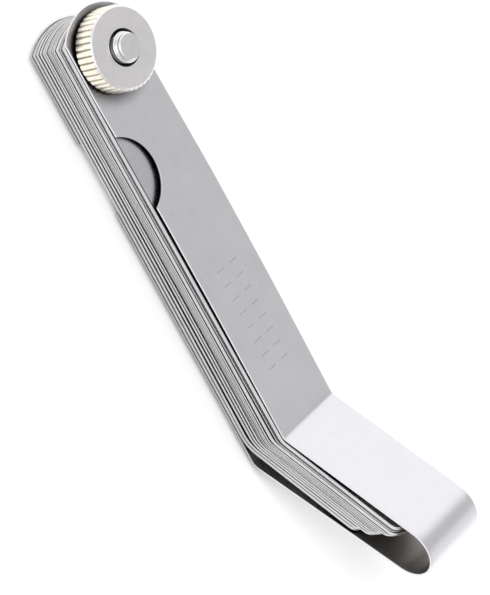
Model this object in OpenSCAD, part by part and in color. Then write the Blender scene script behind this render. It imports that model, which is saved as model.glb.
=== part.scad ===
// Cranked feeler gauge: 16 steel blades that fan out of a one-piece spring-steel case.
// The gauge lies on its back. +X runs along the arm from the pivot to the elbow, +Z points
// out of the front leaf, and the origin is the centre of the pivot stud's flat head face.

/* [Case] */
// Width of the case strip
case_width = 13; // [12:0.5:15]
// Thickness of the case strip
leaf_t = 0.4; // [0.3:0.05:0.45]
// Outside thickness of the case where the nut clamps it
pivot_height = 9.4; // [9.2:0.1:9.8]
// Outside thickness of the case at the elbow
elbow_height = 10.8; // [10.6:0.1:11.2]
// Distance from the pivot to the crease of the front leaf
front_reach = 67.8; // [60:0.2:80]
// How much further out the corner of the back leaf is than the crease
elbow_step = 5; // [4.6:0.1:5.6]
// Inside radius of the crease, on the outer face of the front leaf
crease_r = 1.3; // [1:0.1:1.6]
// Inside radius of the corner of the back leaf
corner_r = 1.8; // [1.2:0.1:2.4]
// Angle between the arm and the front of the foot
foot_angle = 43; // [42:0.5:45]
// How much steeper the back of the foot is than its front
foot_taper = 2.8; // [2:0.2:3]
// Straight length of the front of the foot, from the crease to the U-bend
foot_straight = 25.7; // [25:0.1:30]
// Distance from the pivot to the end of the front leaf
front_end = 7.6; // [7:0.1:9]
// Radius of the end of the front leaf
front_end_r = 8.6; // [8:0.1:11]
// Distance from the pivot to the end of the back leaf
back_end = 6.3; // [6:0.1:8]
// Radius of the end of the back leaf
back_end_r = 10.8; // [8:0.1:12]

/* [Thumb notch] */
// Distance of the notch from the pivot
notch_x = 18; // [16:0.5:30]
// Radius of the notch
notch_r = 7; // [5:0.5:8]
// Depth of the notch into the side of the case
notch_depth = 4.2; // [2:0.1:5]

/* [Blades] */
// Width of every blade
blade_width = 12.7; // [11:0.1:12.9]
// Distance from the pivot to the near end of every blade
blade_end = 6.2; // [5.5:0.1:6.4]
// Radius of that end
blade_end_r = 10.8; // [10:0.1:12]
// Angle between the arm and the foot of every blade
blade_angle = 40.7; // [40.7:0.1:41.5]
// Length of the straight edge of the longest blade's foot
blade_foot = 23.7; // [20:0.1:24]
// Radius of the arched tip
tip_r = 13; // [10:0.5:16]
// Radius of the two corners of the tip
tip_corner_r = 1.6; // [0.8:0.1:2]
// Smallest gap between two neighbours in the stack
tight_gap = 0.02; // [0.02:0.005:0.03]

/* [Pivot] */
// Diameter of the pivot stud
stud_d = 5; // [4:0.5:6]
// Diameter of the stud's low round head
head_d = 8; // [7:0.5:9]
// Height of the stud's head
head_h = 1; // [0.8:0.1:1.5]
// Height of the stud above the nut
stud_proud = 1.4; // [1:0.1:3]
// Diameter of the knurled nut over its ridges
nut_d = 13.4; // [12:0.2:14]
// Height of the knurled nut
nut_h = 4; // [3:0.1:5]
// Number of ridges round the nut
ridges = 40; // [30:1:48]
// Diameter of the flat washer
washer_d = 10; // [9:0.5:11]
// Thickness of the flat washer
washer_t = 0.3; // [0.2:0.1:0.5]

/* [Hidden] */
$fn = 96;

// Running fit of a bore on the stud, and of the loosely held leaves and washer
running_fit = 0.05;
loose_fit = 0.1;
// Reach of a cutter past the face that it cuts
over = 1;
// Flats along an elbow, along the U-bend and along a corner of a blade's tip
elbow_steps = 9;
bend_steps = 36;
tip_steps = 6;

// Thickness of every blade, from the back leaf to the front leaf
blade_t = [0.8, 0.7, 0.6, 0.55, 0.5, 0.15, 0.2, 0.25, 0.35, 0.4, 0.45, 0.9, 0.3, 0.05, 0.1, 1];
// How much shorter each blade's foot is than the longest
foot_trims = [2, 2, 0.6, 0.6, 0.6, 0.6, 0.6, 0.6, 0.6, 0, 0, 0.4, 1, 1.2, 1.2, 1.9];
// How the spare room is shared out: one share below each blade, and the last above them all
pivot_shares = [0, 1, 3, 3, 0, 3, 0, 0, 0, 1, 0, 2, 1, 1, 0, 1, 3];
middle_shares = [0, 1, 2, 3, 1, 3, 0, 0, 0, 0, 0, 1, 1, 1, 0, 1, 6];
elbow_shares = [0, 0, 4, 1, 2, 1, 1, 0, 1, 0, 1, 2, 3, 0, 1, 1, 2];
foot_shares = [0, 0, 6, 1, 1, 1, 0, 0, 1, 0, 1, 5, 1, 1, 0, 6, 0];
// Room that the foot shares out, and the gap under the front of the foot
foot_room = 0.3;
foot_gap = 0.6;

// Heights of the back leaf, and stations along the arm
back_z = head_h;
clamp_x = 5.5;
bow_x = 26;
full_x = 45;
bow_part = 0.75;
blade_flat_r = 8.2;
pivot_top = back_z + pivot_height;
elbow_top = back_z + elbow_height;
bow_top = pivot_top + bow_part * (elbow_height - pivot_height);
strip_start = -max(front_end, back_end) - over;

// Corners of the case in the XZ plane, and the directions of the foot's two faces
back_angle = foot_angle + foot_taper;
crease = [front_reach, elbow_top];
corner = [front_reach + elbow_step, back_z];
// The U-bend touches both faces of the foot
bend_r = ((corner - crease) * normal(back_angle) - foot_straight * sin(foot_taper))
    / (1 + cos(foot_taper));
bend_centre = crease + foot_straight * along(foot_angle) + bend_r * normal(foot_angle);

// How fast the elbow radius of the blades grows from the front of the stack to the back
elbow_growth = 0.35;
// Corner of the front leaf's inner face
inner_crease = crease + leaf_t * [tan(foot_angle / 2), -1];
washer_z = pivot_top;
nut_z = washer_z + washer_t;
stud_top = nut_z + nut_h + stud_proud;
stud_chamfer = 0.5;
nut_chamfer = 0.45;
nut_sink_r = 3;
ridge_depth = 0.35;

// Unit vectors in the XZ plane: along a face, and from that face into the stack
function along(angle) = [cos(angle), sin(angle)];
function normal(angle) = [sin(angle), -cos(angle)];
function total(list, count, i = 0) = i >= count ? 0 : list[i] + total(list, count, i + 1);
// Height of the lower face of blade i above the back leaf, where there is so much room inside
function stack(i, shares, room) =
    total(blade_t, i) + (i + 1) * tight_gap
    + total(shares, i + 1) * spare(room) / total(shares, len(shares));
function spare(room) = room - total(blade_t, len(blade_t)) - len(pivot_shares) * tight_gap;
// Depth of the upper face of blade i below the front of the foot
function foot_depth(i) =
    foot_gap
    + total(blade_t, len(blade_t)) - total(blade_t, i + 1)
    + (len(blade_t) - 1 - i) * tight_gap
    + (total(foot_shares, len(foot_shares)) - total(foot_shares, i + 1)) * foot_room
    / total(foot_shares, len(foot_shares));
// Upper corner of blade i, where the lines of its arm and its foot cross
function blade_corner(i) =
    let (z = back_z + leaf_t + stack(i, elbow_shares, elbow_height - 2 * leaf_t) + blade_t[i])
    let (drop = inner_crease.y - z)
    [inner_crease.x + (foot_depth(i) - drop * cos(blade_angle)) / sin(blade_angle), z];

// Stations along a face: each is a point and the direction of travel in degrees there.
// An arc about c that turns left has a positive radius, and one that turns right a negative one.
function bend(c, r, from, to, steps) = [
    for (k = [0:steps]) let (a = from + (to - from) * k / steps) [c + r * normal(a), a]
];

// The strip of thickness t that lies to the right of a face's stations
module strip_profile(stations, t) {
    last = len(stations) - 1;
    polygon(concat(
        [for (s = stations) s[0]],
        [for (k = [last:-1:0]) stations[k][0] + t * normal(stations[k][1])]
    ));
}

// A plate outline along +X, with a round end that crosses the X axis at -end
module plate_outline(width, end, end_r, length) {
    intersection() {
        translate([-end, -width / 2]) square([end + length, width]);
        translate([end_r - end, 0]) union() {
            circle(end_r);
            translate([0, -end_r]) square([length, 2 * end_r]);
        }
    }
}

// The case strip seen from the side: leaf, crease, foot, U-bend, foot, corner and leaf
module case_profile() {
    crease_start = crease.x - crease_r * tan(foot_angle / 2);
    corner_outer_r = corner_r + leaf_t;
    corner_end = corner.x - corner_outer_r * tan(back_angle / 2);
    rise = atan((bow_top - pivot_top) / (bow_x - clamp_x));
    level = atan((elbow_top - bow_top) / (full_x - bow_x));
    strip_profile(concat(
        [
            [[strip_start, pivot_top], 0], [[clamp_x, pivot_top], rise / 2],
            [[bow_x, bow_top], (rise + level) / 2], [[full_x, elbow_top], level / 2]
        ],
        bend([crease_start, elbow_top + crease_r], crease_r, 0, foot_angle, elbow_steps),
        bend(bend_centre, -bend_r, foot_angle, back_angle - 180, bend_steps),
        bend([corner_end, back_z + corner_outer_r], -corner_outer_r, back_angle - 180, -180,
            elbow_steps),
        [[[strip_start, back_z], -180]]
    ), leaf_t);
}

module spring_case() {
    mid_z = back_z + pivot_height / 2;
    length = 2 * front_reach;
    notch_y = -case_width / 2 + notch_depth - notch_r;
    color("#bdbcc1") difference() {
        intersection() {
            translate([0, case_width / 2, 0]) rotate([90, 0, 0])
                linear_extrude(case_width) case_profile();
            union() {
                translate([0, 0, back_z - over]) linear_extrude(mid_z - back_z + over)
                    plate_outline(case_width + over, back_end, back_end_r, length);
                translate([0, 0, mid_z]) linear_extrude(length)
                    plate_outline(case_width + over, front_end, front_end_r, length);
            }
        }
        cylinder(h = pivot_top + over, r = stud_d / 2 + loose_fit);
        translate([notch_x, notch_y, 0]) cylinder(h = elbow_top + over, r = notch_r);
    }
}

// Side view of blade i from its axis outwards: flat at the pivot, a shallow slope, the elbow
// and the foot. Turned about the pivot axis it nests with its neighbours at every angle.
module blade_profile(i) {
    up = back_z + leaf_t + blade_t[i];
    pivot_z = up + stack(i, pivot_shares, pivot_height - 2 * leaf_t);
    middle_z = up + stack(i, middle_shares, elbow_height - 2 * leaf_t);
    c = blade_corner(i);
    rise = atan((middle_z - pivot_z) / (full_x - blade_flat_r));
    slope = atan((c.y - middle_z) / (c.x - full_x));
    elbow_r = crease_r + leaf_t + elbow_growth * (inner_crease.y - c.y);
    arm_end = c - elbow_r * tan((blade_angle - slope) / 2) * along(slope);
    strip_profile(concat(
        [
            [[0, pivot_z], 0], [[blade_flat_r, pivot_z], rise / 2],
            [[full_x, middle_z], (rise + slope) / 2]
        ],
        bend(arm_end - elbow_r * normal(slope), elbow_r, slope, blade_angle, elbow_steps),
        [[c + (blade_foot + tip_r) * along(blade_angle), blade_angle]]
    ), blade_t[i]);
}

// Outline of the foot in its own plane: its straight edges end at x = 0, then the arched tip
module tip_outline() {
    half = blade_width / 2;
    side = half - tip_corner_r;
    arch_x = -sqrt(pow(tip_r - tip_corner_r, 2) - side * side);
    turn = atan(side / -arch_x);
    reach = front_reach + blade_foot;
    outline = concat(
        [[[-reach, -half], 0]],
        bend([0, -side], tip_corner_r, 0, 90 - turn, tip_steps),
        bend([arch_x, 0], tip_r, 90 - turn, 90 + turn, 2 * tip_steps),
        bend([0, side], tip_corner_r, 90 + turn, 180, tip_steps),
        [[[-reach, half], 180]]
    );
    polygon([for (s = outline) s[0]]);
}

// Blade i of the stack, counted from the back leaf
module blade(i) {
    c = blade_corner(i);
    front = blade_corner(len(blade_t) - 1);
    foot = blade_foot - foot_trims[i] - (c.x - front.x);
    length = front_reach + blade_foot;
    color("#cfcfd4") difference() {
        intersection() {
            rotate_extrude() blade_profile(i);
            linear_extrude(elbow_top + length)
                plate_outline(blade_width, blade_end, blade_end_r, length);
            translate([c.x, 0, c.y]) rotate([0, -blade_angle, 0]) translate([foot, 0, -length])
                linear_extrude(2 * length) tip_outline();
        }
        cylinder(h = pivot_top, r = stud_d / 2 + running_fit);
    }
}

module pivot_stud() {
    color("#a9a9ae") rotate_extrude() polygon([
        [0, 0], [head_d / 2 - stud_chamfer / 2, 0], [head_d / 2, stud_chamfer / 2],
        [head_d / 2, head_h], [stud_d / 2, head_h], [stud_d / 2, stud_top - stud_chamfer],
        [stud_d / 2 - stud_chamfer, stud_top], [0, stud_top]
    ]);
}

module flat_washer() {
    color("#8f8f94") translate([0, 0, washer_z]) difference() {
        cylinder(h = washer_t, d = washer_d);
        translate([0, 0, -over]) cylinder(h = washer_t + 2 * over, r = stud_d / 2 + loose_fit);
    }
}

module knurled_nut() {
    r = nut_d / 2;
    bore_r = stud_d / 2 + running_fit;
    sink = nut_sink_r - bore_r;
    color("#c9c5bb") translate([0, 0, nut_z]) intersection() {
        rotate_extrude() polygon([
            [bore_r, 0], [r - nut_chamfer, 0], [r, nut_chamfer], [r, nut_h - nut_chamfer],
            [r - nut_chamfer, nut_h], [nut_sink_r, nut_h], [bore_r, nut_h - sink]
        ]);
        linear_extrude(nut_h) difference() {
            circle(r + over);
            for (k = [0:ridges - 1]) rotate(k * 360 / ridges) translate([r, 0])
                polygon([[-ridge_depth, 0], [over, -ridge_depth - over],
                         [over, ridge_depth + over]]);
        }
    }
}

spring_case();
pivot_stud();
flat_washer();
knurled_nut();
blade(0);  // blade_0_80
blade(1);  // blade_0_70
blade(2);  // blade_0_60
blade(3);  // blade_0_55
blade(4);  // blade_0_50
blade(5);  // blade_0_15
blade(6);  // blade_0_20
blade(7);  // blade_0_25
blade(8);  // blade_0_35
blade(9);  // blade_0_40
blade(10);  // blade_0_45
blade(11);  // blade_0_90
blade(12);  // blade_0_30
blade(13);  // blade_0_05
blade(14);  // blade_0_10
blade(15);  // blade_1_00
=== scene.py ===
"""Looks of the cranked feeler gauge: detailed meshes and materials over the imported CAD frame.

Shapes are worked out in millimetres in the CAD frame and turned into metres when a mesh is made.
"""

import math

import bmesh
import bpy
from mathutils import Matrix, Vector


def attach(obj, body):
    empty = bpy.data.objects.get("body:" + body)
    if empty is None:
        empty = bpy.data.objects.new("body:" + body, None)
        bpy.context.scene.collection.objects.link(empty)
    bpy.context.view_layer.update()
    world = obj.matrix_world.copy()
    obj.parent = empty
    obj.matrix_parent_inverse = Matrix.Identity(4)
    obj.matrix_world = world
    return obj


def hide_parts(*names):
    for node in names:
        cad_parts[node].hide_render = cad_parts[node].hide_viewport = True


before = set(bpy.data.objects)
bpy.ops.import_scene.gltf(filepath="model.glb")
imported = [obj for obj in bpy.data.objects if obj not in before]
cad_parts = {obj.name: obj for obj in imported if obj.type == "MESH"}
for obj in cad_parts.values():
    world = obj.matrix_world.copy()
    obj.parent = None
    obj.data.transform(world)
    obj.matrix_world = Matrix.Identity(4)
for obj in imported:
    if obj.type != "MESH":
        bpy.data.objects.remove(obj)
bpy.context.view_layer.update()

MM = 0.001

# Driving sizes of the CAD model, in millimetres and degrees
CASE_WIDTH = 13.0
LEAF_T = 0.4
PIVOT_HEIGHT = 9.4
ELBOW_HEIGHT = 10.8
FRONT_REACH = 67.8
ELBOW_STEP = 5.0
CREASE_R = 1.3
CORNER_R = 1.8
FOOT_ANGLE = 43.0
FOOT_TAPER = 2.8
FOOT_STRAIGHT = 25.7
FRONT_END = 7.6
FRONT_END_R = 8.6
BACK_END = 6.3
BACK_END_R = 10.8
NOTCH_X = 18.0
NOTCH_R = 7.0
NOTCH_DEPTH = 4.2
BLADE_WIDTH = 12.7
BLADE_END = 6.2
BLADE_END_R = 10.8
BLADE_ANGLE = 40.7
BLADE_FOOT = 23.7
TIP_R = 13.0
TIP_CORNER_R = 1.6
TIGHT_GAP = 0.02
FOOT_ROOM = 0.3
FOOT_GAP = 0.6
ELBOW_GROWTH = 0.35
BOW_PART = 0.75
CLAMP_X, BOW_X, FULL_X, BLADE_FLAT_R = 5.5, 26.0, 45.0, 8.2
STUD_R = 2.5
HEAD_R = 4.0
HEAD_H = 1.0
STUD_PROUD = 1.4
STUD_TIP = 0.85
STUD_CHAMFER = 0.18
NUT_R = 6.7
NUT_H = 4.0
NUT_BORE_R = 2.55
NUT_SINK_R = 3.0
NUT_CHAMFER = 0.45
RIDGES = 40
RIDGE_STEPS = 8
RIDGE_DEPTH = 0.35
WASHER_R = 5.0
WASHER_BORE_R = 2.6
WASHER_T = 0.3
THREAD_PITCH = 0.8
THREAD_DEPTH = 0.38

# How far the detailed strips stay inside the CAD faces, and how near two points are one
SKIN = 0.002
JOIN = 0.0001

# Most that a strip's edges are rounded, as a part of its thickness and of its width, the least
# width counted, and the radius on the case and on a blade, which grows with its thickness
EDGE_OF_T = 0.42
EDGE_OF_WIDTH = 0.3
LEAST_WIDTH = 0.02
CASE_EDGE_R = 0.12
BLADE_EDGE_R = 0.02
BLADE_EDGE_GROWTH = 0.1

# Distance from the pivot where a blade's straight cross-lines begin to turn into arcs about it,
# and the length over which they do
TURN_START = 20.0
TURN_SPAN = 40.0

# Etched digits on a blade: their middle, height, depth, and how far they stand proud
ETCH_X = 33.0
ETCH_SIZE = 3.0
ETCH_DEPTH = 0.026
ETCH_PROUD = 0.006

# Strokes of the tally on the front leaf: first place, spacing, row length, the two rows, and size
TALLY_X = 39.0
TALLY_PITCH = 2.6
TALLY_ROW = 8
TALLY_Y = (-1.7, 1.4)
STROKE_W = 0.22
STROKE_H = 1.7
STROKE_DEPTH = 0.2

# Scale of the ring-shaped marks on turned metal, and limits of a face normal that pick a material
RING_SCALE = 450.0
INNER_FACING = 0.7
GROUND_FACE = 0.985
NARROW_SIDE = 0.12
KNURL_FACE = 0.6

# Camera: place, point it looks at and top of its view, in millimetres, and focal length
CAMERA_PLACE = (-93.2, -259.2, 343.0)
CAMERA_TARGET = (45.8, 1.2, 10.2)
CAMERA_UP = (-0.8376, 0.5413, 0.0736)
CAMERA_LENS = 169.7

# Thickness of every blade from the back leaf to the front leaf, how much shorter its foot is, and
# the shares of spare room under each blade and over the last one
BLADE_T = (0.8, 0.7, 0.6, 0.55, 0.5, 0.15, 0.2, 0.25, 0.35, 0.4, 0.45, 0.9, 0.3, 0.05, 0.1, 1.0)
FOOT_TRIMS = (2, 2, 0.6, 0.6, 0.6, 0.6, 0.6, 0.6, 0.6, 0, 0, 0.4, 1, 1.2, 1.2, 1.9)
PIVOT_SHARES = (0, 1, 3, 3, 0, 3, 0, 0, 0, 1, 0, 2, 1, 1, 0, 1, 3)
MIDDLE_SHARES = (0, 1, 2, 3, 1, 3, 0, 0, 0, 0, 0, 1, 1, 1, 0, 1, 6)
ELBOW_SHARES = (0, 0, 4, 1, 2, 1, 1, 0, 1, 0, 1, 2, 3, 0, 1, 1, 2)
FOOT_SHARES = (0, 0, 6, 1, 1, 1, 0, 0, 1, 0, 1, 5, 1, 1, 0, 6, 0)

BACK_ANGLE = FOOT_ANGLE + FOOT_TAPER
BACK_Z = HEAD_H
PIVOT_TOP = BACK_Z + PIVOT_HEIGHT
ELBOW_TOP = BACK_Z + ELBOW_HEIGHT
BOW_TOP = PIVOT_TOP + BOW_PART * (ELBOW_HEIGHT - PIVOT_HEIGHT)
NUT_Z = PIVOT_TOP + WASHER_T
STUD_TOP = NUT_Z + NUT_H + STUD_PROUD


# ---------------------------------------------------------------- side profiles (r or x, z)


def clamp(value):
    """The value, kept between 0 and 1."""
    return min(max(value, 0.0), 1.0)


def along(angle):
    """Unit vector in the side view, angle degrees above +X."""
    a = math.radians(angle)
    return Vector((math.cos(a), math.sin(a)))


def normal(angle):
    """Unit vector to the right of along(angle), which is into the stack."""
    a = math.radians(angle)
    return Vector((math.sin(a), -math.cos(a)))


def bend(centre, radius, start, stop, steps):
    """Stations (point, direction) on an arc; a right turn has a negative radius."""
    angles = [start + (stop - start) * k / steps for k in range(steps + 1)]
    return [(centre + radius * normal(a), a) for a in angles]


def polyline_height(x, corners):
    """Height of a polyline at x, level beyond its ends."""
    if x <= corners[0][0]:
        return corners[0][1]
    for (x0, z0), (x1, z1) in zip(corners, corners[1:]):
        if x <= x1:
            return z0 + (z1 - z0) * (x - x0) / (x1 - x0)
    return corners[-1][1]


def smooth_height(x, corners, reach=3.0):
    """The polyline's mean height over reach either side of x, which rounds its corners off."""
    samples = [x + reach * k / 8 for k in range(-8, 9)]
    return sum(polyline_height(s, corners) for s in samples) / len(samples)


def arm_stations(xs, corners):
    """Stations along the arm that follow the smoothed polyline."""
    stations = []
    for x in xs:
        rise = smooth_height(x + 0.2, corners) - smooth_height(x - 0.2, corners)
        angle = math.degrees(math.atan2(rise, 0.4))
        stations.append((Vector((x, smooth_height(x, corners))), angle))
    return stations


def straight_stations(start, stop, angle, count):
    """Stations on a straight run, without its two ends."""
    return [(start.lerp(stop, k / count), angle) for k in range(1, count)]


def stack(i, shares, room):
    """Height of the lower face of blade i above the back leaf, with so much room inside."""
    spare = room - sum(BLADE_T) - len(shares) * TIGHT_GAP
    share = sum(shares[: i + 1]) * spare / sum(shares)
    return sum(BLADE_T[:i]) + (i + 1) * TIGHT_GAP + share


def blade_heights(i):
    """Heights of the upper face of blade i at the pivot and in the middle of its arm."""
    lift = BACK_Z + LEAF_T + BLADE_T[i]
    pivot_z = lift + stack(i, PIVOT_SHARES, PIVOT_HEIGHT - 2 * LEAF_T)
    middle_z = lift + stack(i, MIDDLE_SHARES, ELBOW_HEIGHT - 2 * LEAF_T)
    return pivot_z, middle_z


def foot_depth(i):
    """Depth of the upper face of blade i below the front of the foot."""
    share = sum(FOOT_SHARES[i + 1:]) * FOOT_ROOM / sum(FOOT_SHARES)
    return FOOT_GAP + sum(BLADE_T[i + 1:]) + (len(BLADE_T) - 1 - i) * TIGHT_GAP + share


CREASE = Vector((FRONT_REACH, ELBOW_TOP))
CORNER = Vector((FRONT_REACH + ELBOW_STEP, BACK_Z))
INNER_CREASE = CREASE + LEAF_T * Vector((math.tan(math.radians(FOOT_ANGLE / 2)), -1))


def blade_corner(i):
    """Upper corner of blade i, where the lines of its arm and its foot cross."""
    z = BACK_Z + LEAF_T + stack(i, ELBOW_SHARES, ELBOW_HEIGHT - 2 * LEAF_T) + BLADE_T[i]
    drop = INNER_CREASE.y - z
    foot = foot_depth(i) - drop * math.cos(math.radians(BLADE_ANGLE))
    return Vector((INNER_CREASE.x + foot / math.sin(math.radians(BLADE_ANGLE)), z))


# ---------------------------------------------------------------- meshes


def close_mesh(mesh):
    """Joins points that coincide and turns every face outwards."""
    shell = bmesh.new()
    shell.from_mesh(mesh)
    bmesh.ops.remove_doubles(shell, verts=shell.verts, dist=JOIN * MM)
    bmesh.ops.recalc_face_normals(shell, faces=shell.faces)
    shell.to_mesh(mesh)
    shell.free()


def put(name, data):
    """An object with that data, linked to the scene."""
    made = bpy.data.objects.new(name, data)
    bpy.context.scene.collection.objects.link(made)
    return made


def make_object(name, vertices, faces, materials, body, node, choose=None, smooth_angle=40.0):
    """A smooth-shaded mesh in metres that rides on a CAD body and replaces a node.

    choose gives the index of a face's material from its middle (in mm) and its normal.
    """
    mesh = bpy.data.meshes.new(name)
    mesh.from_pydata([Vector(v) * MM for v in vertices], [], faces)
    close_mesh(mesh)
    for polygon in mesh.polygons:
        polygon.use_smooth = True
        if choose:
            polygon.material_index = choose(polygon.center / MM, polygon.normal)
    mesh.set_sharp_from_angle(angle=math.radians(smooth_angle))
    obj = put(name, mesh)
    for material in materials:
        obj.data.materials.append(material)
    weighted = obj.modifiers.new("even_normals", "WEIGHTED_NORMAL")
    weighted.keep_sharp = True
    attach(obj, body)
    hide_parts(node)


def section(low, high, t, edge_r, spans):
    """Loop (y, depth) round a strip's rounded cross-section, top face first."""
    edge_r = min(edge_r, EDGE_OF_T * t, EDGE_OF_WIDTH * max(high - low, LEAST_WIDTH))
    low, high = low + SKIN, high - SKIN
    steps = 4
    flat = [low + edge_r + (high - low - 2 * edge_r) * k / spans for k in range(spans + 1)]
    turn = [math.radians(90 * k / steps) for k in range(steps + 1)]
    right_top = [
        (high - edge_r + edge_r * math.sin(a), SKIN + edge_r - edge_r * math.cos(a)) for a in turn
    ]
    right_low = [(y, t - d) for y, d in reversed(right_top)]
    left_low = [(low + high - y, d) for y, d in right_low[::-1]]
    left_top = [(low + high - y, d) for y, d in right_top[::-1]]
    top = [(y, SKIN) for y in flat[1:-1]]
    bottom = [(y, t - SKIN) for y in reversed(flat[1:-1])]
    return top + right_top + right_low + bottom + left_low + left_top


def loft(rings):
    """Vertices and faces of a closed solid through rings of equal length."""
    count = len(rings[0])
    vertices = [v for ring in rings for v in ring]
    faces = []
    for k in range(len(rings) - 1):
        a, b = k * count, (k + 1) * count
        for j in range(count):
            n = (j + 1) % count
            faces.append((a + j, b + j, b + n, a + n))
    faces.append(tuple(range(count)))
    last = (len(rings) - 1) * count
    faces.append(tuple(last + j for j in reversed(range(count))))
    return vertices, faces


def end_arc_points(end, radius, half_width, steps=14):
    """(x, half width) from the tip of a round end at x = -end to its full width."""
    widest = math.asin(half_width / radius)
    angles = [widest * (0.02 + 0.98 * k / steps) for k in range(steps + 1)]
    return [(radius - end - radius * math.cos(a), radius * math.sin(a)) for a in angles]


def notch_points(steps=28):
    """(x, y of the edge) along the thumb notch, from end to end."""
    centre_y = -CASE_WIDTH / 2 + NOTCH_DEPTH - NOTCH_R
    half = math.acos((-CASE_WIDTH / 2 - centre_y) / NOTCH_R)
    angles = [-half + 2 * half * k / steps for k in range(steps + 1)]
    return [(NOTCH_X + NOTCH_R * math.sin(a), centre_y + NOTCH_R * math.cos(a)) for a in angles]


def leaf_outline(end, end_r):
    """(x, low y, high y) of a leaf of the case, from its round end to past the notch."""
    half = CASE_WIDTH / 2
    notch = notch_points()
    rows = [(x, -w, w) for x, w in end_arc_points(end, end_r, half)]
    rows += [(x, -half, half) for x in (-1.0, 1.0, 2.5, 4.0, 5.5, 7.0, 8.5, 10.0, 11.5)]
    rows += [(x, y, half) for x, y in notch]
    rows += [(x, -half, half) for x in (25.5, 27.5, 30.0, 33.0, 36.0, 39.0, 42.0, 45.0, 48.0)]
    rows += [(x, -half, half) for x in (51.0, 55.0, 59.0, 63.0, 65.5)]
    return rows


def build_case(materials):
    """The folded strip: front leaf, crease, foot, U-bend, foot, corner and back leaf.

    The leaves are solid at the pivot: the stud passes through them without a hole.
    """
    half = CASE_WIDTH / 2
    crease_x = CREASE.x - CREASE_R * math.tan(math.radians(FOOT_ANGLE / 2))
    outer_r = CORNER_R + LEAF_T
    corner_x = CORNER.x - outer_r * math.tan(math.radians(BACK_ANGLE / 2))
    bend_r = (CORNER - CREASE).dot(normal(BACK_ANGLE))
    bend_r -= FOOT_STRAIGHT * math.sin(math.radians(FOOT_TAPER))
    bend_r /= 1 + math.cos(math.radians(FOOT_TAPER))
    bend_centre = CREASE + FOOT_STRAIGHT * along(FOOT_ANGLE) + bend_r * normal(FOOT_ANGLE)

    front = ((CLAMP_X, PIVOT_TOP), (BOW_X, BOW_TOP), (FULL_X, ELBOW_TOP), (FRONT_REACH, ELBOW_TOP))
    rows = leaf_outline(FRONT_END, FRONT_END_R)
    stations = arm_stations([x for x, _, _ in rows], front)
    widths = [(low, high) for _, low, high in rows]

    crease = bend(Vector((crease_x, ELBOW_TOP + CREASE_R)), CREASE_R, 0, FOOT_ANGLE, 16)
    around = bend(bend_centre, -bend_r, FOOT_ANGLE, BACK_ANGLE - 180, 72)
    corner_c = Vector((corner_x, BACK_Z + outer_r))
    corner = bend(corner_c, -outer_r, BACK_ANGLE - 180, -180, 16)
    rest = crease
    rest += straight_stations(crease[-1][0], around[0][0], FOOT_ANGLE, 6)
    rest += around
    rest += straight_stations(around[-1][0], corner[0][0], BACK_ANGLE - 180, 8)
    rest += corner
    stations += rest
    widths += [(-half, half)] * len(rest)

    back_rows = [row for row in leaf_outline(BACK_END, BACK_END_R) if row[0] < corner_x - 2]
    back_rows.append((corner_x - 1.5, -half, half))
    for x, low, high in reversed(back_rows):
        stations.append((Vector((x, BACK_Z)), -180))
        widths.append((low, high))

    rings = []
    for (p, angle), (low, high) in zip(stations, widths):
        ring = []
        for y, depth in section(low, high, LEAF_T, CASE_EDGE_R, 6):
            q = p + depth * normal(angle)
            ring.append((q.x, y, q.y))
        rings.append(ring)
    middle = CREASE.lerp(CORNER, 0.5)
    foot = along(FOOT_ANGLE + FOOT_TAPER / 2)

    def inside(centre, face_normal):
        """1 on the faces towards the middle of the strip and on the back leaf's end, which take a
        darker copy of the steel as painted shade, else 0.
        """
        if centre.x < BACK_END - BACK_END_R and centre.z < BACK_Z + LEAF_T:
            return 1
        here = Vector((centre.x, centre.z))
        reach = (here - middle).dot(foot)
        if centre.x < middle.x and reach < 0:
            axis = Vector((centre.x, middle.y))
        else:
            axis = middle + min(max(reach, 0.0), FOOT_STRAIGHT) * foot
        towards = (axis - here).normalized()
        facing = towards.dot(Vector((face_normal.x, face_normal.z)))
        return 1 if facing > INNER_FACING else 0

    make_object("case", *loft(rings), materials, "case", "spring_case", inside)


def turned(r, y):
    """x of the point at radius r and offset y: straight across near the pivot, an arc further out."""
    share = clamp((r - TURN_START) / TURN_SPAN)
    share = share * share * (3 - 2 * share)
    if share == 0.0:
        return r
    return r - share * (r - math.sqrt(r * r - y * y))


def tip_rows():
    """(distance past the end of the straight edge, half width) round a blade's arched tip."""
    half = BLADE_WIDTH / 2
    side = half - TIP_CORNER_R
    arch_x = -math.sqrt((TIP_R - TIP_CORNER_R) ** 2 - side * side)
    turn = math.atan2(side, -arch_x)
    rows = []
    for k in range(1, 9):
        a = (math.pi / 2 - turn) * k / 8
        rows.append((TIP_CORNER_R * math.sin(a), side + TIP_CORNER_R * math.cos(a)))
    for k in range(1, 13):
        a = turn * (1 - k / 12.2)
        rows.append((arch_x + TIP_R * math.cos(a), TIP_R * math.sin(a)))
    return rows


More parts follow.
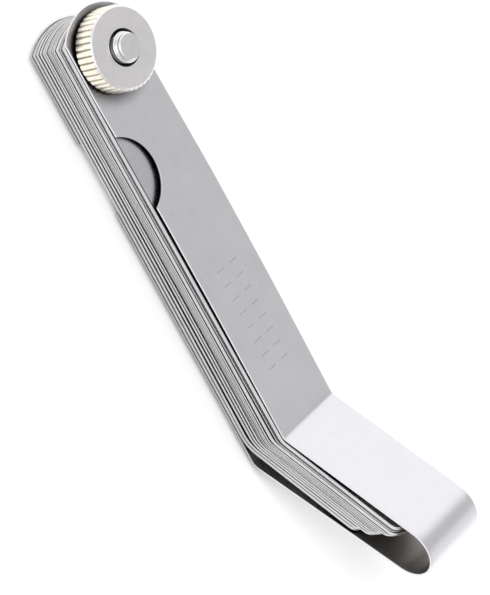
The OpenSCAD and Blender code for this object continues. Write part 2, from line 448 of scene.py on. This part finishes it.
def build_blade(i, materials):
    """Blade i of the stack, counted from the back leaf.

    It is solid at the pivot: the stud passes through it without a hole.
    """
    t = BLADE_T[i]
    half = BLADE_WIDTH / 2
    pivot_z, middle_z = blade_heights(i)
    corner = blade_corner(i)
    slope = math.degrees(math.atan2(corner.y - middle_z, corner.x - FULL_X))
    elbow_r = CREASE_R + LEAF_T + ELBOW_GROWTH * (INNER_CREASE.y - corner.y)
    cut = elbow_r * math.tan(math.radians((BLADE_ANGLE - slope) / 2))
    arm_end = corner - cut * along(slope)
    arm = ((BLADE_FLAT_R, pivot_z), (FULL_X, middle_z), (arm_end.x, arm_end.y))

    end_rows = end_arc_points(BLADE_END, BLADE_END_R, half)
    xs = [x for x, _ in end_rows]
    xs += [-1, 2, 4, 6, 7.5, 9, 10.5, 12, 14, 17, 21, 25, 30, 35, 39, 42, 45, 48, 51, 55, 59]
    xs += [62.0, arm_end.x - 3.2]
    stations = arm_stations(xs, arm)
    widths = [w for _, w in end_rows] + [half] * (len(xs) - len(end_rows))

    foot_length = BLADE_FOOT - FOOT_TRIMS[i] - (corner.x - blade_corner(len(BLADE_T) - 1).x)
    elbow = bend(arm_end - elbow_r * normal(slope), elbow_r, slope, BLADE_ANGLE, 18)
    foot_end = corner + foot_length * along(BLADE_ANGLE)
    run = elbow + straight_stations(elbow[-1][0], foot_end, BLADE_ANGLE, 6)
    run.append((foot_end, BLADE_ANGLE))
    stations += run
    widths += [half] * len(run)
    for reach, w in tip_rows():
        stations.append((foot_end + reach * along(BLADE_ANGLE), BLADE_ANGLE))
        widths.append(w)

    edge_r = BLADE_EDGE_R + BLADE_EDGE_GROWTH * t
    rings = []
    for (p, angle), w in zip(stations, widths):
        ring = []
        for y, depth in section(-w, w, t, edge_r, 10):
            q = p + depth * normal(angle)
            ring.append((turned(q.x, y), y, q.y))
        rings.append(ring)
    label = blade_label(i)

    def edge_part(centre, face_normal):
        """0 on the ground faces of the blade, 1 on its narrow sides, 2 on the corners between, which
        are painted near-black as the shade of the gaps in the stack.
        """
        if centre.x < 0:
            out = abs(face_normal.z)
        elif centre.x > foot_end.x:
            out = abs(Vector((face_normal.x, face_normal.z)).dot(normal(BLADE_ANGLE)))
        else:
            out = math.sqrt(max(1 - face_normal.y ** 2, 0.0))
        if out > GROUND_FACE:
            return 0
        return 1 if out < NARROW_SIDE else 2

    body = f"blade_{label}"
    make_object(f"gauge_{label}", *loft(rings), materials, body, body, edge_part)


def blade_label(i):
    """Thickness of blade i in the form of its node's name, such as 0_05."""
    return f"{BLADE_T[i]:.2f}".replace(".", "_")


def faces_around(steps, count):
    """Faces between neighbours in a full circle of profiles that have count points each."""
    faces = []
    for k in range(steps):
        a, b = k * count, ((k + 1) % steps) * count
        faces += [(a + j, b + j, b + j + 1, a + j + 1) for j in range(count - 1)]
    return faces


def lathe(profile, steps=128):
    """Vertices and faces of a closed (r, z) profile turned about the Z axis."""
    vertices = []
    for k in range(steps):
        a = 2 * math.pi * k / steps
        vertices += [(r * math.cos(a), r * math.sin(a), z) for r, z in profile]
    return vertices, faces_around(steps, len(profile))


def fillet(profile, radius, steps=4):
    """Rounds the inner corners of an open (r, z) profile."""
    points = [Vector(p) for p in profile]
    rounded = [points[0]]
    for before, here, after in zip(points, points[1:], points[2:]):
        reach = min(radius, 0.45 * (here - before).length, 0.45 * (after - here).length)
        start = here + (before - here).normalized() * reach
        stop = here + (after - here).normalized() * reach
        for k in range(steps + 1):
            u = k / steps
            rounded.append((1 - u) ** 2 * start + 2 * u * (1 - u) * here + u * u * stop)
    rounded.append(points[-1])
    return [(p.x, p.y) for p in rounded]


def build_nut(materials):
    """Round nut with straight ridges, chamfered rims and a countersunk bore."""
    steps = RIDGES * RIDGE_STEPS
    sink = NUT_SINK_R - NUT_BORE_R
    rim = NUT_R - NUT_CHAMFER
    vertices = []
    for k in range(steps):
        wave = abs(math.sin(math.pi * k / RIDGE_STEPS))
        ridge = NUT_R - RIDGE_DEPTH * (1 - wave ** 0.5)
        low = ridge - rim
        wall = [(rim, 0), (ridge, low), (ridge, NUT_H - low), (rim, NUT_H)]
        profile = [(NUT_BORE_R, NUT_H / 2), (NUT_BORE_R, sink), (NUT_SINK_R, 0)]
        profile += wall
        profile += [(NUT_SINK_R, NUT_H), (NUT_BORE_R, NUT_H - sink), (NUT_BORE_R, NUT_H / 2)]
        profile = fillet(profile, 0.09, 3)
        a = 2 * math.pi * k / steps
        vertices += [(r * math.cos(a), r * math.sin(a), NUT_Z + z) for r, z in profile]
    faces = faces_around(steps, len(profile))

    def on_knurl(centre, face_normal):
        """1 on the ridged rim, 0 on the two turned faces and the bore."""
        outside = math.hypot(centre.x, centre.y) > rim
        return 1 if outside and abs(face_normal.z) < KNURL_FACE else 0

    make_object("clamp_nut", vertices, faces, materials, "nut", "knurled_nut", on_knurl, 50.0)


def build_washer(materials):
    """Stamped washer with rounded edges."""
    z = PIVOT_TOP
    middle = (WASHER_BORE_R + WASHER_R) / 2
    profile = [
        (middle, z + WASHER_T), (WASHER_BORE_R, z + WASHER_T), (WASHER_BORE_R, z),
        (WASHER_R, z), (WASHER_R, z + WASHER_T), (middle, z + WASHER_T),
    ]
    make_object("washer", *lathe(fillet(profile, 0.08)), materials, "washer", "flat_washer")


def thread_radius(angle, z):
    """Radius of the stud's threaded end: a V thread that runs out below a plain turned tip."""
    phase = (z / THREAD_PITCH - angle / (2 * math.pi)) % 1.0
    depth = THREAD_DEPTH * clamp(1.25 * (1 - abs(2 * phase - 1)) - 0.1)
    start = NUT_Z - 0.4
    depth *= clamp((z - start) / 0.5)
    end = STUD_TOP - STUD_TIP
    depth *= clamp((end + 0.15 - z) / 0.3)
    tip = THREAD_DEPTH * clamp((z - end) / 0.2)
    chamfer = max(z - (STUD_TOP - STUD_CHAMFER), 0.0)
    return STUD_R - depth - tip - 0.9 * chamfer


def build_stud(materials):
    """Stud with a low round head, a plain shank and a threaded end."""
    shank_z = NUT_Z - 0.5
    head = fillet([
        (0.0, 0.0), (HEAD_R - 0.25, 0.0), (HEAD_R, 0.25), (HEAD_R, HEAD_H), (STUD_R, HEAD_H),
        (STUD_R, shank_z),
    ], 0.12)
    levels = 150
    heights = [shank_z + (STUD_TOP - shank_z) * (k + 1) / levels for k in range(levels)]
    steps = 72
    vertices = []
    for k in range(steps):
        a = 2 * math.pi * k / steps
        ring = head + [(thread_radius(a, z), z) for z in heights]
        ring += [(ring[-1][0] * 0.9, STUD_TOP), (0.0, STUD_TOP)]
        vertices += [(r * math.cos(a), r * math.sin(a), z) for r, z in ring]
    faces = faces_around(steps, len(ring))
    make_object("stud", vertices, faces, materials, "case", "pivot_stud", None, 35.0)


def build_etching(i, material):
    """The blade's thickness in millimetres, etched across its upper face near the pivot."""
    label = blade_label(i)
    text = bpy.data.curves.new(f"digits_{label}", "FONT")
    text.body = f"{BLADE_T[i]:.2f}"
    text.size = ETCH_SIZE * MM
    text.extrude = ETCH_DEPTH / 2 * MM
    text.align_x = "CENTER"
    text.align_y = "CENTER"
    carrier = put("digits", text)
    depsgraph = bpy.context.evaluated_depsgraph_get()
    mesh = bpy.data.meshes.new_from_object(carrier.evaluated_get(depsgraph))
    bpy.data.objects.remove(carrier)
    pivot_z, middle_z = blade_heights(i)
    corners = ((BLADE_FLAT_R, pivot_z), (FULL_X, middle_z))
    for vertex in mesh.vertices:
        x = ETCH_X + vertex.co.x / MM
        y = vertex.co.y / MM
        z = smooth_height(x, corners) + ETCH_PROUD - ETCH_DEPTH / 2 + vertex.co.z / MM
        vertex.co = Vector((x, y, z)) * MM
    close_mesh(mesh)
    mesh.name = f"etching_{label}"
    obj = put(f"etching_{label}", mesh)
    obj.data.materials.clear()
    obj.data.materials.append(material)
    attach(obj, f"blade_{label}")


def build_tally(material):
    """One short engraved stroke for each blade, in two rows along the front leaf."""
    front = ((CLAMP_X, PIVOT_TOP), (BOW_X, BOW_TOP), (FULL_X, ELBOW_TOP))
    vertices, faces = [], []
    for k in range(len(BLADE_T)):
        x = TALLY_X + TALLY_PITCH * (k % TALLY_ROW)
        y = TALLY_Y[k // TALLY_ROW]
        z = smooth_height(x, front)
        first = len(vertices)
        for depth in (0.0, STROKE_DEPTH):
            for dx, dy in ((-1, -1), (1, -1), (1, 1), (-1, 1)):
                vertices.append((x + dx * STROKE_W / 2, y + dy * STROKE_H / 2, z - depth))
        faces.append(tuple(first + j for j in range(4)))
        faces.append(tuple(first + 4 + j for j in reversed(range(4))))
        for j in range(4):
            n = (j + 1) % 4
            faces.append((first + j, first + 4 + j, first + 4 + n, first + n))
    mesh = bpy.data.meshes.new("tally_marks")
    mesh.from_pydata([Vector(v) * MM for v in vertices], [], faces)
    close_mesh(mesh)
    marks = put("tally_marks", mesh)
    marks.data.materials.append(material)
    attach(marks, "case")


# ---------------------------------------------------------------- materials


def add(tree, kind, place, **values):
    """A node of that kind with its sockets or properties set."""
    made = tree.nodes.new(kind)
    made.location = place
    for key, value in values.items():
        if key in made.inputs:
            made.inputs[key].default_value = value
        else:
            setattr(made, key, value)
    return made


def steel(name, colour, roughness, grain, stretch, streak=0.06, bump=0.03,
          tint=(0.0, 0.0, 0.0), painted_shade_min=0.08, reach=1.2, painted_shade_start=0.42):
    """Rolled or ground steel: directional grain, soft cloudy stain, fine scratches, and painted shade
    from ambient occlusion in gaps and creases.
    """
    material = bpy.data.materials.new(name)
    material.use_nodes = True
    tree = material.node_tree
    shader = tree.nodes["Principled BSDF"]
    shader.inputs["Metallic"].default_value = 1.0
    link = tree.links.new

    place = add(tree, "ShaderNodeTexCoord", (-1400, 0))
    lines = add(tree, "ShaderNodeMapping", (-1200, 200))
    lines.inputs["Scale"].default_value = [grain * s for s in stretch]
    link(place.outputs["Object"], lines.inputs["Vector"])
    fine = add(tree, "ShaderNodeTexNoise", (-1000, 300), Scale=1.0, Detail=6.0, Roughness=0.65)
    link(lines.outputs["Vector"], fine.inputs["Vector"])
    cloud = add(tree, "ShaderNodeTexNoise", (-1000, 0), Scale=140.0, Detail=4.0, Roughness=0.6)
    link(place.outputs["Object"], cloud.inputs["Vector"])
    spots = add(tree, "ShaderNodeTexNoise", (-1000, -300), Scale=2600.0, Detail=3.0)
    link(place.outputs["Object"], spots.inputs["Vector"])

    mixed = add(tree, "ShaderNodeMath", (-800, 150), operation="MULTIPLY_ADD")
    link(fine.outputs["Fac"], mixed.inputs[0])
    mixed.inputs[1].default_value = 0.6
    half_cloud = add(tree, "ShaderNodeMath", (-800, 0), operation="MULTIPLY")
    link(cloud.outputs["Fac"], half_cloud.inputs[0])
    half_cloud.inputs[1].default_value = 0.4
    link(half_cloud.outputs[0], mixed.inputs[2])

    ramp = add(tree, "ShaderNodeValToRGB", (-600, 200))
    dark = [max(c - streak - 0.5 * s, 0.0) for c, s in zip(colour, tint)]
    light = [min(c + streak + 0.5 * s, 1.0) for c, s in zip(colour, tint)]
    ramp.color_ramp.elements[0].position = 0.3
    ramp.color_ramp.elements[1].position = 0.7
    ramp.color_ramp.elements[0].color = (*dark, 1.0)
    ramp.color_ramp.elements[1].color = (*light, 1.0)
    link(mixed.outputs[0], ramp.inputs["Fac"])
    # Painted shade: the colour is darkened where ambient occlusion finds other surfaces within reach,
    # in gaps, creases and under other parts.
    corner = add(tree, "ShaderNodeAmbientOcclusion", (-900, 550), samples=8, Distance=reach * MM)
    painted_shade = add(tree, "ShaderNodeMapRange", (-600, 500))
    painted_shade.inputs["From Min"].default_value = painted_shade_start
    painted_shade.inputs["From Max"].default_value = 0.86
    painted_shade.inputs["To Min"].default_value = painted_shade_min
    link(corner.outputs["AO"], painted_shade.inputs["Value"])
    tone_with_painted_shade = add(tree, "ShaderNodeVectorMath", (-300, 300), operation="SCALE")
    link(ramp.outputs["Color"], tone_with_painted_shade.inputs[0])
    link(painted_shade.outputs["Result"], tone_with_painted_shade.inputs["Scale"])
    link(tone_with_painted_shade.outputs["Vector"], shader.inputs["Base Color"])

    rough = add(tree, "ShaderNodeMapRange", (-600, -100))
    rough.inputs["From Min"].default_value = 0.3
    rough.inputs["From Max"].default_value = 0.7
    rough.inputs["To Min"].default_value = roughness - 0.05
    rough.inputs["To Max"].default_value = roughness + 0.07
    link(mixed.outputs[0], rough.inputs["Value"])
    link(rough.outputs["Result"], shader.inputs["Roughness"])

    height = add(tree, "ShaderNodeMath", (-600, -350), operation="MULTIPLY_ADD")
    link(spots.outputs["Fac"], height.inputs[0])
    height.inputs[1].default_value = 0.35
    link(fine.outputs["Fac"], height.inputs[2])
    relief = add(tree, "ShaderNodeBump", (-350, -300), Strength=bump, Distance=0.0002)
    link(height.outputs[0], relief.inputs["Height"])
    link(relief.outputs["Normal"], shader.inputs["Normal"])
    return material


def turned_metal(name, colour, roughness, bump=0.05, painted_shade_min=0.08):
    """Turned metal: fine concentric tool marks about the pivot axis, with cloudy plating and painted
    shade from ambient occlusion.
    """
    material = steel(name, colour, roughness, 900.0, (1.0, 1.0, 1.0), streak=0.04, bump=bump,
                     painted_shade_min=painted_shade_min)
    tree = material.node_tree
    link = tree.links.new
    place = next(n for n in tree.nodes if n.bl_idname == "ShaderNodeTexCoord")
    relief = next(n for n in tree.nodes if n.bl_idname == "ShaderNodeBump")
    wave = add(tree, "ShaderNodeTexWave", (-1000, -600), wave_type="RINGS", rings_direction="Z",
               Scale=RING_SCALE, Distortion=0.6, Detail=2.0)
    link(place.outputs["Object"], wave.inputs["Vector"])
    total = add(tree, "ShaderNodeMath", (-480, -500), operation="ADD")
    link(relief.inputs["Height"].links[0].from_socket, total.inputs[0])
    link(wave.outputs["Fac"], total.inputs[1])
    link(total.outputs[0], relief.inputs["Height"])
    return material


def dark_etch(name):
    """Electro-etched figures: dull dark grey oxide, a little mottled."""
    material = steel(name, (0.09, 0.09, 0.1), 0.6, 1200.0, (1.0, 1.0, 1.0), streak=0.03, bump=0.1)
    material.node_tree.nodes["Principled BSDF"].inputs["Metallic"].default_value = 0.4
    return material


def plain_floor(name):
    """Matt near-white card with a very faint grain."""
    material = bpy.data.materials.new(name)
    material.use_nodes = True
    tree = material.node_tree
    shader = tree.nodes["Principled BSDF"]
    shader.inputs["Roughness"].default_value = 0.9
    shader.inputs["Specular IOR Level"].default_value = 0.1
    noise = add(tree, "ShaderNodeTexNoise", (-600, 0), Scale=60.0, Detail=3.0)
    ramp = add(tree, "ShaderNodeValToRGB", (-350, 0))
    ramp.color_ramp.elements[0].color = (0.93, 0.93, 0.935, 1.0)
    ramp.color_ramp.elements[1].color = (0.95, 0.95, 0.955, 1.0)
    tree.links.new(noise.outputs["Fac"], ramp.inputs["Fac"])
    tree.links.new(ramp.outputs["Color"], shader.inputs["Base Color"])
    return material


# Every material below darkens its colour by ambient occlusion as painted shade; the case steel's long
# reach paints shade round the nut and the notch, the edge steel's in the gaps of the stack, and the
# knurl's in the grooves between its ridges.
case_steel = steel("case_steel", (0.77, 0.76, 0.79), 0.3, 900.0, (0.3, 2.2, 1.0), streak=0.03,
                   painted_shade_min=0.15, reach=4.0, painted_shade_start=0.55)
# Darker, warmer copy of the case steel on the inside of the U-bend and on the back leaf's end:
# painted shade.
inner_shade_steel = steel("inner_shade_steel", (0.45, 0.43, 0.4), 0.34, 900.0, (0.3, 2.2, 1.0), streak=0.06)
blade_steel = steel("blade_steel", (0.67, 0.67, 0.71), 0.27, 900.0, (2.5, 0.25, 1.0), streak=0.05)
edge_steel = steel("edge_steel", (0.62, 0.61, 0.61), 0.36, 900.0, (0.4, 1.0, 3.0), streak=0.08,
                   bump=0.01, tint=(0.04, 0.0, -0.04), painted_shade_min=0.15, reach=3.0)
# Near-black copy of the steel on the blades' rounded corners: painted shade of the gaps between the
# stacked blades.
corner_shade_steel = steel("corner_shade_steel", (0.1, 0.1, 0.11), 0.45, 900.0, (0.4, 1.0, 3.0), streak=0.04)
nut_metal = turned_metal("nut_metal", (0.89, 0.87, 0.87), 0.3)
knurl_metal = turned_metal("knurl_metal", (0.9, 0.85, 0.73), 0.3, painted_shade_min=0.5)
stud_metal = turned_metal("stud_metal", (0.86, 0.85, 0.85), 0.22)
washer_metal = turned_metal("washer_metal", (0.55, 0.55, 0.57), 0.35)
etch = dark_etch("etched_figures")
engraved = steel("engraved_strokes", (0.6, 0.59, 0.61), 0.5, 900.0, (1.0, 1.0, 1.0))

build_case([case_steel, inner_shade_steel])
build_stud([stud_metal])
build_washer([washer_metal])
build_nut([nut_metal, knurl_metal])
build_tally(engraved)
for index in range(len(BLADE_T)):
    build_blade(index, [blade_steel, edge_steel, corner_shade_steel])
    build_etching(index, etch)


# ---------------------------------------------------------------- floor, light and camera


def build_floor():
    """A wide pale sheet under the gauge."""
    mesh = bpy.data.meshes.new("floor")
    size = 3.0
    mesh.from_pydata([(-size, -size, 0), (size, -size, 0), (size, size, 0), (-size, size, 0)],
                     [], [(0, 1, 2, 3)])
    floor = put("floor", mesh)
    floor.data.materials.append(plain_floor("floor_card"))


def aim(obj, target, up):
    """Turns a camera or light at target, with up as the top of its view."""
    forward = (target - obj.location).normalized()
    right = forward.cross(up).normalized()
    true_up = right.cross(forward)
    turn = Matrix((right, true_up, -forward)).transposed()
    obj.rotation_euler = turn.to_euler()


def build_sky(base, patches):
    """A plain grey studio room with large soft white panels: (direction, core, edge, gain)."""
    world = bpy.data.worlds.new("studio")
    world.use_nodes = True
    tree = world.node_tree
    place = add(tree, "ShaderNodeTexCoord", (-1200, 0))
    total = None
    for k, (direction, core, edge, gain) in enumerate(patches):
        axis = Vector(direction).normalized()
        near = add(tree, "ShaderNodeVectorMath", (-1000, -250 * k), operation="DOT_PRODUCT")
        near.inputs[1].default_value = axis
        tree.links.new(place.outputs["Generated"], near.inputs[0])
        panel = add(tree, "ShaderNodeMapRange", (-800, -250 * k), interpolation_type="SMOOTHSTEP")
        panel.inputs["From Min"].default_value = math.cos(math.radians(edge))
        panel.inputs["From Max"].default_value = math.cos(math.radians(core))
        panel.inputs["To Max"].default_value = gain
        tree.links.new(near.outputs["Value"], panel.inputs["Value"])
        joined = add(tree, "ShaderNodeMath", (-600, -250 * k), operation="ADD")
        tree.links.new(panel.outputs["Result"], joined.inputs[0])
        joined.inputs[1].default_value = base
        if total:
            tree.links.new(total.outputs[0], joined.inputs[1])
        total = joined
    tree.links.new(total.outputs[0], tree.nodes["Background"].inputs["Color"])
    bpy.context.scene.world = world


def build_sun(name, direction, power, spread):
    """A very soft directional light that lifts the floor to white and isn't mirrored in metal."""
    light = bpy.data.lights.new(name, "SUN")
    light.energy = power
    light.angle = math.radians(spread)
    lamp = put(name, light)
    lamp.location = Vector(direction).normalized()
    lamp.visible_glossy = False
    aim(lamp, Vector((0.0, 0.0, 0.0)), Vector((0.0, 0.3, 1.0)))


build_floor()

build_sky(
    base=0.62,
    patches=(
        ((-0.72, 0.58, 0.36), 20, 52, 0.55),
        ((0.80, 0.50, 0.15), 15, 45, 0.35),
        ((0.10, -0.90, 0.35), 20, 50, 0.25),
        ((-0.90, -0.40, 0.25), 15, 40, 0.25),
        ((-0.34, -0.64, 0.64), 12, 36, 0.55),
    ),
)
build_sun("key_light", (-0.5, -0.35, 0.79), 1.8, 50)

camera_data = bpy.data.cameras.new("camera")
camera_data.lens = CAMERA_LENS
camera_data.clip_start = 0.01
camera = put("camera", camera_data)
camera.location = Vector(CAMERA_PLACE) * MM
aim(camera, Vector(CAMERA_TARGET) * MM, Vector(CAMERA_UP))
bpy.context.scene.camera = camera
bpy.context.scene.view_settings.view_transform = "Standard"
